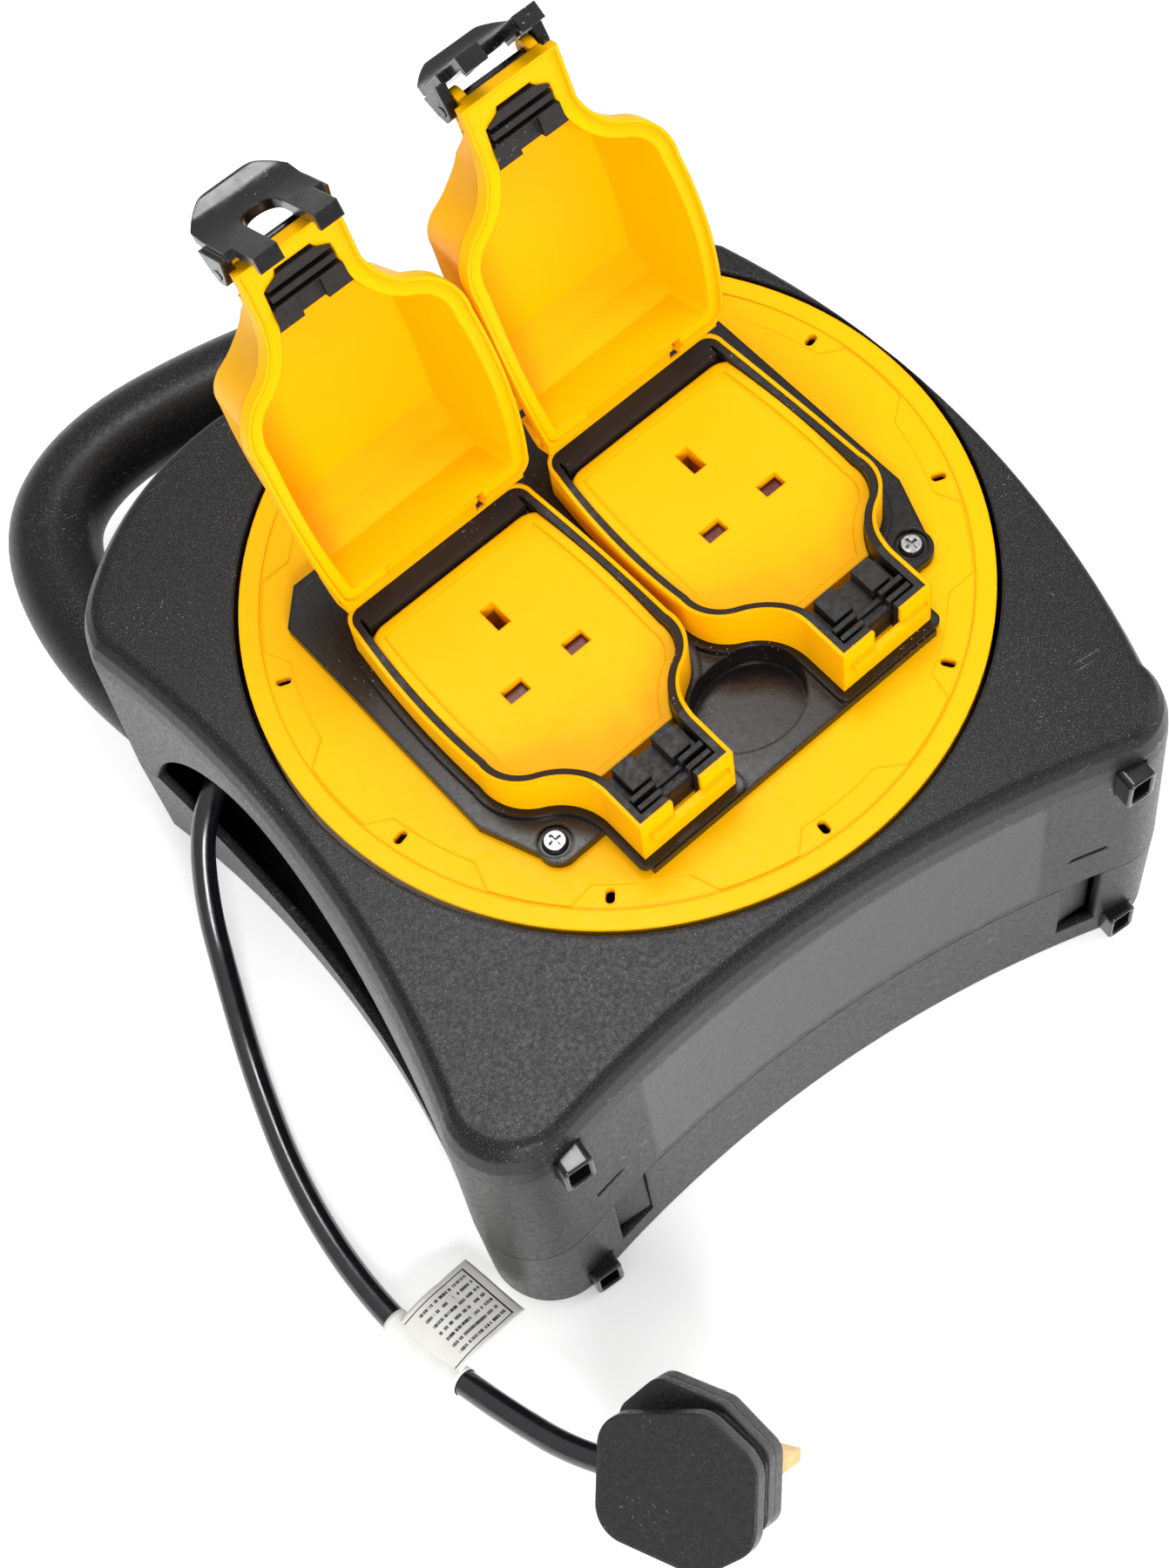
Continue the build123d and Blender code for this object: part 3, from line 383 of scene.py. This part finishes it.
def grid_mesh(name, rows, closed=False, uv=False):
    """Mesh through rows of points, each row as long as the next, closed across the rows or open."""
    count = len(rows[0])
    span = count if closed else count - 1

    def index(r, c):
        return r * count + c % count

    faces = [(index(r, c), index(r, c + 1), index(r + 1, c + 1), index(r + 1, c))
             for r in range(len(rows) - 1) for c in range(span)]
    mesh = bpy.data.meshes.new(name)
    mesh.from_pydata([p for row in rows for p in row], [], faces)
    if uv:
        layer = mesh.uv_layers.new(name="flat")
        for loop in mesh.loops:
            r, c = divmod(loop.vertex_index, count)
            layer.data[loop.index].uv = (c / (count - 1), r / (len(rows) - 1))
    mesh.validate()
    return mesh


def film(obj, thickness):
    """Makes a bare surface a film of a thickness in millimetres."""
    obj.modifiers.new("film", "SOLIDIFY").thickness = thickness * mm


# ---- free cord, in millimetres ------------------------------------------------------------------
cord_radius = 4
plug_face = Vector((-127.1, -205.8, 46.1))  # middle of the cover's face
plug_out = Vector((0.593, 0.146, -0.792)).normalized()  # the way that the pins point
plug_up = Vector((0.601, -0.735, 0.314))  # from the cord entry to the earth pin
plug_up = (plug_up - plug_out * plug_up.dot(plug_out)).normalized()
entry_depth, entry_drop = 8.8, 21.02  # of the cord's end, from the middle of the cover's face
plug_entry = plug_face + plug_out * entry_depth - plug_up * entry_drop
straight_end = 14
cord_route = [(-101, 65, 52), (-117, 58, 51.5), (-133, 47.5, 45), (-144, 33, 27), (-152, 12, 10),
              (-160.5, -17, 4), (-167.5, -53, 4), (-168.5, -89, 5), (-163, -124, 9.5), (-153, -154, 18.5),
              tuple(plug_entry - plug_up * straight_end), tuple(plug_entry)]
label_place = cord_route[8]  # the bend that the label sits at


def make_cord(materials):
    """The free cord, from inside the slot to the plug."""
    data = bpy.data.curves.new("mains_cord", "CURVE")
    data.dimensions = "3D"
    data.bevel_depth = cord_radius * mm
    data.bevel_resolution = 8
    data.resolution_u = 24
    line = data.splines.new("NURBS")
    line.points.add(len(cord_route) - 1)
    for point, place in zip(line.points, cord_route):
        point.co = (*(Vector(place) * mm), 1)
    line.order_u = 3
    line.use_endpoint_u = True
    cord = bpy.data.objects.new("mains_cord", data)
    bpy.context.scene.collection.objects.link(cord)
    data.materials.append(materials["cord_sheath"])
    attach(cord, "case")
    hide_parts("free_cord")
    return cord


def cord_line(cord):
    """Points along the middle of the finished cord, in metres."""
    data = cord.data.copy()
    data.bevel_depth = 0
    bare = bpy.data.objects.new("bare_line", data)
    mesh = bpy.data.meshes.new_from_object(bare)
    points = [v.co.copy() for v in mesh.vertices]
    bpy.data.objects.remove(bare)
    bpy.data.curves.remove(data)
    bpy.data.meshes.remove(mesh)
    return points


# ---- label --------------------------------------------------------------------------------------
def label_print():
    """White film with a thin border and plain grey lines in place of words."""
    s = Shader("printed_film")
    flat = s.node("ShaderNodeUVMap", uv_map="flat").outputs["UV"]
    u, v = s.axis(flat, "X"), s.axis(flat, "Y")
    line_count, word_scale, line_shift = 9.0, 26.0, 7.3

    def times(a, b):
        return s.math("MULTIPLY", a, b)

    def band(value, low, high):
        return times(s.math("GREATER_THAN", value, low), s.math("LESS_THAN", value, high))

    height = times(v, line_count)
    in_line = band(s.math("MODULO", height, 1.0), 0.3, 0.68)
    spot = s.node("ShaderNodeCombineXYZ", {"X": times(u, word_scale),
                                           "Y": times(s.math("FLOOR", height), line_shift)})
    words = s.remap(s.noise(1.0, 0, 0.5, spot.outputs["Vector"]), 0.4, 0.42, 0, 1)
    letters = s.remap(s.noise(5.0, 1, 0.5, spot.outputs["Vector"]), 0.4, 0.5, 0.35, 1)
    margins = times(band(u, 0.2, 0.86), band(v, 0.12, 0.88))
    text = times(times(in_line, times(words, letters)), margins)
    outside = times(band(u, -1.0, 0.9), band(v, 0.07, 0.93))
    inside = times(band(u, -1.0, 0.88), band(v, 0.085, 0.915))
    ink = s.math("MAXIMUM", text, s.math("SUBTRACT", outside, inside))
    paper = s.mix(s.remap(s.noise(60, 3), 0.3, 0.7, 0, 1), (0.8, 0.8, 0.76, 1), (0.72, 0.71, 0.66, 1))
    s.set(Base_Color=s.mix(ink, paper, (0.03, 0.03, 0.035, 1)), Roughness=0.45)
    s.relief(s.noise(220, 2), depth=0.04 * mm)
    return s.material


def walk(line, start, step, distance):
    """Index of the point a distance along a line from a start, forwards or backwards."""
    index, travelled = start, 0.0
    while travelled < distance:
        index += step
        travelled += (line[index] - line[index - step]).length
    return index


def make_sleeve(line, middle, materials):
    """Film wrapped round the cord, a little uneven."""
    half_length, sides = 15 * mm, 48
    clearance, wave = 0.22, 0.06
    first, last = (walk(line, middle, step, half_length) for step in (-1, 1))
    rows = []
    for i in range(first, last + 1):
        along = (line[i + 1] - line[i - 1]).normalized()
        across = along.cross(up).normalized()
        over = across.cross(along)
        radius = (cord_radius + clearance + wave * sin(i * 0.9)) * mm
        rows.append([line[i] + (across * cos(a) + over * sin(a)) * radius
                     for a in (2 * pi * k / sides for k in range(sides))])
    sleeve = new_piece("label_sleeve", grid_mesh("label_sleeve", rows, closed=True), "case",
                       "label_white", materials["label_white"], "cord_label")
    film(sleeve, 0.12)
    return sleeve


def make_flag(line, middle):
    """The label's flag, which leaves the top of the cord, lies over towards the case and droops."""
    length, reach, steps = 26, 28.0, 32
    top, arch, droop, ripple = 4.2, 1.1, 6.6, 0.5
    along = (line[middle + 2] - line[middle - 2]).normalized()
    towards_case = up.cross(along).normalized()
    rows = []
    for r in range(length + 1):
        start = line[middle] + along * ((r - length / 2) * mm)
        row = []
        for c in range(steps + 1):
            t = c / steps
            height = (top + arch * sin(pi * min(t * 1.6, 1)) - droop * t * t
                      + ripple * sin(r * 0.24) * t)
            row.append(start + towards_case * (reach * t * mm) + up * (height * mm))
        rows.append(row)
    flag = new_piece("label_flag", grid_mesh("label_flag", rows, uv=True), "case", "label_white",
                     label_print())
    film(flag, 0.2)
    return flag


# ---- wound cable --------------------------------------------------------------------------------
def make_wound_cable(materials):
    """Turns of cord on the spool: a ring with a round for each turn of its outer layer."""
    turns, round_steps, ring_steps = 9, 6, 96
    depth, deepest_sag = 48 * mm, 1.5 * mm
    low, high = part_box("wound_cable")
    outer = high[0]
    inner = outer - depth
    pitch = (high[2] - low[2]) / turns
    profile = [(inner, low[2]), (inner, high[2])]
    for turn in reversed(range(turns)):
        middle = low[2] + (turn + 0.5) * pitch
        sag = deepest_sag if turn % 3 == 1 else 0
        for step in range(round_steps + 1):
            a = pi / 2 - pi * step / round_steps
            profile.append((outer - sag - pitch / 2 + cos(a) * pitch / 2, middle + sin(a) * pitch / 2))
    rows = [[Vector((r * cos(a), r * sin(a), z)) for r, z in profile]
            for a in (2 * pi * k / ring_steps for k in range(ring_steps + 1))]
    new_piece("wound_turns", grid_mesh("wound_turns", rows, closed=True), "drum", "cord_sheath",
              materials["cord_sheath"], "wound_cable")


# ---- the scene ----------------------------------------------------------------------------------
materials = make_materials()
paint_nodes(materials)
soften_nodes()
set_camera()
set_floor()
set_world()
set_lights()
cord = make_cord(materials)
line = cord_line(cord)
label_point = min(range(len(line)), key=lambda i: (line[i] - Vector(label_place) * mm).length)
sleeve = make_sleeve(line, label_point, materials)
flag = make_flag(line, label_point)
make_wound_cable(materials)
